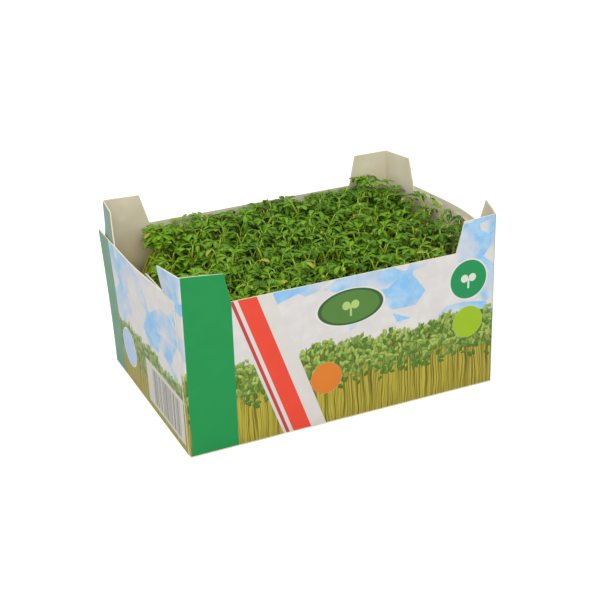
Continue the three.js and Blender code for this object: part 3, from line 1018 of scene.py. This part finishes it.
def leaflet_template():
    """A flat leaflet of length 1 along Y and half width 1 along X, with its map."""
    bm = bmesh.new()
    bmesh.ops.create_grid(bm, x_segments=2, y_segments=5, size=0.5)
    bmesh.ops.translate(bm, vec=(0, 0.5, 0), verts=bm.verts)
    layer = bm.loops.layers.uv.new("leaf")
    for face in bm.faces:
        for loop in face.loops:
            loop[layer].uv = (loop.vert.co.x + 0.5, loop.vert.co.y)
    for vert in bm.verts:
        blade = min(max((vert.co.y - LEAF_STALK) / (1 - LEAF_STALK), 0.0), 1.0)
        along = min(blade ** LEAFLET_OUTLINE["widest"], LEAFLET_OUTLINE["tip"])
        width = math.sin(math.pi * along) ** LEAFLET_OUTLINE["full"]
        vert.co.x *= 2 * max(LEAFLET_OUTLINE["stalk"], width)
    return as_mesh(bm)


def pressed(point):
    """Keeps a point of a plant inside the walls, as leaves that meet a wall are pressed along it."""
    right = LEAF_ROOM[0] + end_bulge(1, point.y, point.z)
    x = soft_limit(point.x, right) if point.x > 0 else -soft_limit(-point.x, LEAF_ROOM[0])
    y = math.copysign(soft_limit(abs(point.y), LEAF_ROOM[1]), point.y)
    return Vector((x, y, point.z))


def soft_limit(value, limit):
    """Slows a value down before a limit, so that it never reaches it."""
    start = limit - SOFT_ZONE
    if value < start:
        return value
    return limit - SOFT_ZONE * math.exp((start - value) / SOFT_ZONE)


def add_copy(bm, template, tint, place):
    """Adds a copy of a template, and puts each of its points where place(point) says."""
    start = len(bm.verts)
    bm.from_mesh(template)
    bm.verts.ensure_lookup_table()
    layer = bm.verts.layers.float["tint"]
    for vert in bm.verts[start:]:
        vert.co = pressed(place(vert.co))
        vert[layer] = tint


def bent_stick(foot, head, radius, top_radius, sag):
    """Places a stick template from foot to head, with its lower part more upright than its upper part."""
    def place(point):
        share = point.z
        centre = foot.lerp(head, share)
        lag = sag * (share ** 1.6 - share)
        centre.x += (head.x - foot.x) * lag
        centre.y += (head.y - foot.y) * lag
        width = mix(radius, top_radius, share)
        return centre + Vector((point.x * width, point.y * width, 0))
    return place


def drooping_leaflet(hub, heading, length, half_width, pitch, curl, cup):
    """Places a leaflet that leaves the hub at a pitch and curls over along its length."""
    out = Vector((math.cos(heading), math.sin(heading), 0))
    across = Vector((-out.y, out.x, 0))

    def place(point):
        turned = pitch + curl * point.y
        forward = length * (math.sin(turned) - math.sin(pitch)) / curl
        up = length * (math.cos(pitch) - math.cos(turned)) / curl
        lift = cup * half_width * point.x ** 2
        normal = out * -math.sin(turned) + Vector((0, 0, math.cos(turned)))
        return hub + out * forward + Vector((0, 0, up)) + across * (point.x * half_width) + normal * lift
    return place


def add_seed_coat(seeds, middle, turn, tint):
    """An empty seed coat: a small pointed shell."""
    place = Matrix.Translation(middle) @ Euler(turn).to_matrix().to_4x4()
    place = place @ Matrix.Diagonal((*SEED_COAT, 1))
    made = bmesh.ops.create_icosphere(seeds, subdivisions=1, radius=1, matrix=place)
    layer = seeds.verts.layers.float["tint"]
    for vert in made["verts"]:
        vert[layer] = tint


def add_seedling(stems, leaves, seeds, templates, spot, column, row, extra):
    """One seedling: a stem that forks into two stalks, each with a leaf.

    A few still carry their seed coat.
    """
    foot, head, yaw = spot

    def draw(use):
        return chance(column + 0.37, row + 0.71, use + 20 * extra)

    size = mix(*RANGES["size"], draw(1))
    tint = draw(2)
    fork = head.copy()
    fork.z -= FORK_DROP * size
    stem = bent_stick(foot, fork, STEM_RADIUS * size, 0.8 * STEM_RADIUS * size, 1.0)
    add_copy(stems, templates["stem"], tint, stem)
    for side in (0, 1):
        heading = yaw + side * math.pi + spread(draw(3 + side), 0.35)
        reach = mix(*RANGES["stalk_reach"], draw(5 + side)) * size
        hub = head + Vector((math.cos(heading) * reach, math.sin(heading) * reach, -0.3 * MM * side))
        root = fork - Vector((0, 0, 0.4 * MM))
        stalk = bent_stick(root, hub, STALK_RADIUS * 1.3, STALK_RADIUS, 0.6)
        add_copy(stems, templates["stalk"], tint, stalk)
        outermost = add_leaf(leaves, templates["leaflet"], hub, heading, size, tint, side, draw)
        if draw(60 + side) < CARRIED_COATS:
            turn = (spread(draw(62), 0.8), spread(draw(63), 0.8), math.tau * draw(64))
            middle = pressed(outermost(Vector((0, 0.8, 0)))) + Vector((0, 0, SEED_COAT[2]))
            add_seed_coat(seeds, middle, turn, 1.0)


def add_leaf(leaves, template, hub, heading, size, tint, side, draw):
    """One leaf of three drooping leaflets, of which it hands back the place of the last."""
    droop = mix(*RANGES["droop"], draw(7 + side))
    for finger in (-1, 0, 1):
        use = 9 + 3 * side + finger
        length = LEAFLET_LENGTH * size * (1.06 if finger == 0 else 0.9)
        length *= mix(*RANGES["leaflet_length"], draw(use))
        half_width = LEAFLET_HALF_WIDTH * size * mix(*RANGES["leaflet_width"], draw(use + 24))
        turn = heading + finger * mix(*RANGES["leaflet_turn"], draw(use + 6))
        pitch = mix(*RANGES["leaflet_pitch"], draw(use + 12))
        yellowed = draw(use + 30) > 0.988
        leaf_tint = 1.0 if yellowed else 0.97 * mix(tint, draw(use + 18), 0.5)
        place = drooping_leaflet(hub, turn, length, half_width, pitch, -droop, LEAFLET_CUP)
        add_copy(leaves, template, leaf_tint, place)
    return place


def add_felt(bm, column, row):
    """The bumpy tile of roots that a clump stands in."""
    cell = (BED[0] / CLUMP_COLUMNS, BED[1] / CLUMP_ROWS)
    low = (column * cell[0] - BED[0] / 2 + GAP / 2, row * cell[1] - BED[1] / 2 + GAP / 2)
    high = (low[0] + cell[0] - GAP, low[1] + cell[1] - GAP)
    tile = lumpy_block(low, high, 2 * MM, FELT_BASE, FELT_TOP, FELT_LUMPS)
    bmesh.ops.recalc_face_normals(tile, faces=tile.faces)
    add_sheet(bm, tile)


def add_seeds(seeds, column, row):
    """Empty seed coats that lie on the felt."""
    cell = (BED[0] / CLUMP_COLUMNS, BED[1] / CLUMP_ROWS)
    for seed in range(SEEDS_PER_CLUMP):
        x = (column + mix(0.1, 0.9, chance(column, row, 200 + seed))) * cell[0] - BED[0] / 2
        y = (row + mix(0.1, 0.9, chance(column, row, 230 + seed))) * cell[1] - BED[1] / 2
        tilt = spread(chance(column, row, 260 + seed), 0.6)
        turn = (tilt, 0.3, math.tau * chance(column, row, 290 + seed))
        tint = 0.8 * chance(column, row, 320 + seed)
        add_seed_coat(seeds, Vector((x, y, FELT_TOP + 0.1 * MM)), turn, tint)


def tinted_bmesh():
    """An empty bmesh whose points carry a tint."""
    bm = bmesh.new()
    bm.verts.layers.float.new("tint")
    return bm


def clump_of(foot):
    """The column and row of the clump that a seedling with this foot belongs to."""
    column = math.floor((foot.x / BED[0] + 0.5) * CLUMP_COLUMNS)
    row = math.floor((foot.y / BED[1] + 0.5) * CLUMP_ROWS)
    return column, row


def clump_piece(column, row, templates, materials):
    """A clump of the bed: its root felt, seed coats and seedlings."""
    stems, leaves, ground, seeds = (tinted_bmesh() for _ in range(4))
    leaves.loops.layers.uv.new("leaf")
    for right in (0, 1):
        for back in (0, 1):
            for extra in range(EXTRA_SEEDLINGS + 1):
                place = (2 * column + right, 2 * row + back, extra)
                spot = seedling_place(*place)
                if extra == 0 or chance(*place[:2], 400 + extra) > thinned(spot[0]):
                    add_seedling(stems, leaves, seeds, templates, spot, *place)
    for number, place in enumerate(TALL_SEEDLINGS):
        head = Vector(place) * MM
        foot = Vector((min(head.x, TALL_FEET[0]), min(head.y, TALL_FEET[1]), FELT_TOP - MM))
        if clump_of(foot) == (column, row):
            spot = (foot, head, 2.4 * number)
            add_seedling(stems, leaves, seeds, templates, spot, 40 + number, 3 * number, 0)
    bmesh.ops.solidify(leaves, geom=leaves.faces[:], thickness=LEAF_THICKNESS)
    add_felt(ground, column, row)
    add_seeds(seeds, column, row)
    whole = tinted_bmesh()
    whole.loops.layers.uv.new("leaf")
    for index, part in enumerate((leaves, stems, ground, seeds)):
        for face in part.faces:
            face.material_index = index
        add_sheet(whole, part)
    piece = finish_piece(whole, f"cress_{row + 1}_{column + 1}", materials)
    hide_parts(f"cress_clump_{row + 1}_{column + 1}")
    return piece


# Stage

def stage():
    """A plain pale floor, a bright even sky and two large soft lamps."""
    material, graph, shader = new_material(
        "floor", Roughness=0.85, Specular_IOR_Level=0.1, Emission_Strength=0.5
    )
    place = graph.node("ShaderNodeTexCoord").outputs["Object"]
    pale = graph.mix(graph.noise(place, 3.0, 1.0), paint("d0d0cf"), paint("d2d2d1"))
    seen = graph.node("ShaderNodeLightPath").outputs["Is Camera Ray"]
    feed(graph, shader, Base_Color=pale, Emission_Color=graph.mix(seen, paint("000000"), paint("ffffff")))
    bm = bmesh.new()
    bmesh.ops.create_grid(bm, x_segments=1, y_segments=1, size=4)
    mesh = as_mesh(bm)
    floor = bpy.data.objects.new("floor", mesh)
    mesh.materials.append(material)
    bpy.context.scene.collection.objects.link(floor)
    world = bpy.data.worlds.new("studio")
    bpy.context.scene.world = world
    world.use_nodes = True
    sky = world.node_tree.nodes["Background"].inputs
    sky["Color"].default_value = (0.97, 0.98, 1.0, 1)
    sky["Strength"].default_value = 0.95
    for name, place, size, power in (
        ("key", (-0.25, -0.93, 0.75), 0.8, 5.5),
        ("top", (-0.6, 0.0, 0.95), 0.9, 2.2),
    ):
        lamp = bpy.data.lights.new(name, "AREA")
        lamp.size = size
        lamp.energy = power
        light = bpy.data.objects.new(name, lamp)
        light.location = place
        towards = Vector((0, 0, 0.04)) - Vector(place)
        light.rotation_euler = towards.to_track_quat("-Z", "Y").to_euler()
        bpy.context.scene.collection.objects.link(light)


def camera():
    """The camera at the fitted angle, with its slight roll."""
    azimuth, elevation, roll = (math.radians(CAMERA[k]) for k in ("azimuth", "elevation", "roll"))
    level = math.cos(elevation)
    back = Vector((math.sin(azimuth) * level, -math.cos(azimuth) * level, math.sin(elevation)))
    right = Vector((0, 0, 1)).cross(back).normalized()
    up = back.cross(right)
    right, up = right * math.cos(roll) + up * math.sin(roll), up * math.cos(roll) - right * math.sin(roll)
    data = bpy.data.cameras.new("camera")
    data.lens = CAMERA["lens"]
    data.sensor_width = 36
    data.clip_start = 0.01
    view = bpy.data.objects.new("camera", data)
    turn = Matrix((right, up, back)).transposed().to_4x4()
    view.matrix_world = Matrix.Translation(Vector(CAMERA["target"]) + back * CAMERA["distance"]) @ turn
    bpy.context.scene.collection.objects.link(view)
    bpy.context.scene.camera = view


def build():
    """The camera, the stage, the carton, the pad and the bed of seedlings."""
    camera()
    stage()
    groups = {"fibre": paper_fibre_group(), "clouds": cloud_group(), "sprouts": sprout_group()}
    # Heights and tints of the inside's warm painted bounce light and of the dark tint below it, partly
    # staining from dampness and partly painted shade
    dampness_and_painted_light = {
        "clean_above": 61 * MM,
        "stain_and_shade_from": 47 * MM,
        "stain_and_shade_full": 33 * MM,
        "warm": "d4c8a0",
        "stain_and_shade_tint": "5d5222",
    }
    inside = board_material("board_inside", groups, "d9d0b8", "cec4aa", 0.75, dampness_and_painted_light)
    edge = board_material("board_edge", groups, "e3dcc8", "cfc6ad", 0.85)
    underside = board_material("board_underside", groups, "e6e4df", "dcdad4", 0.6)
    prints = [wall_print(groups), end_print(groups), underside]
    carton = carton_piece([*prints, inside, inside, inside, edge, edge, edge])
    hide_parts("carton")
    medium = medium_material()
    pad_piece(medium)
    templates = {
        "stem": stick_template(5, 4),
        "stalk": stick_template(4, 2),
        "leaflet": leaflet_template(),
    }
    cress = [leaf_material(), stem_material(), medium, seed_material()]
    for row in range(CLUMP_ROWS):
        for column in range(CLUMP_COLUMNS):
            clump_piece(column, row, templates, cress)
    for mesh in templates.values():
        bpy.data.meshes.remove(mesh)


build()
bpy.context.scene.view_settings.view_transform = "Standard"
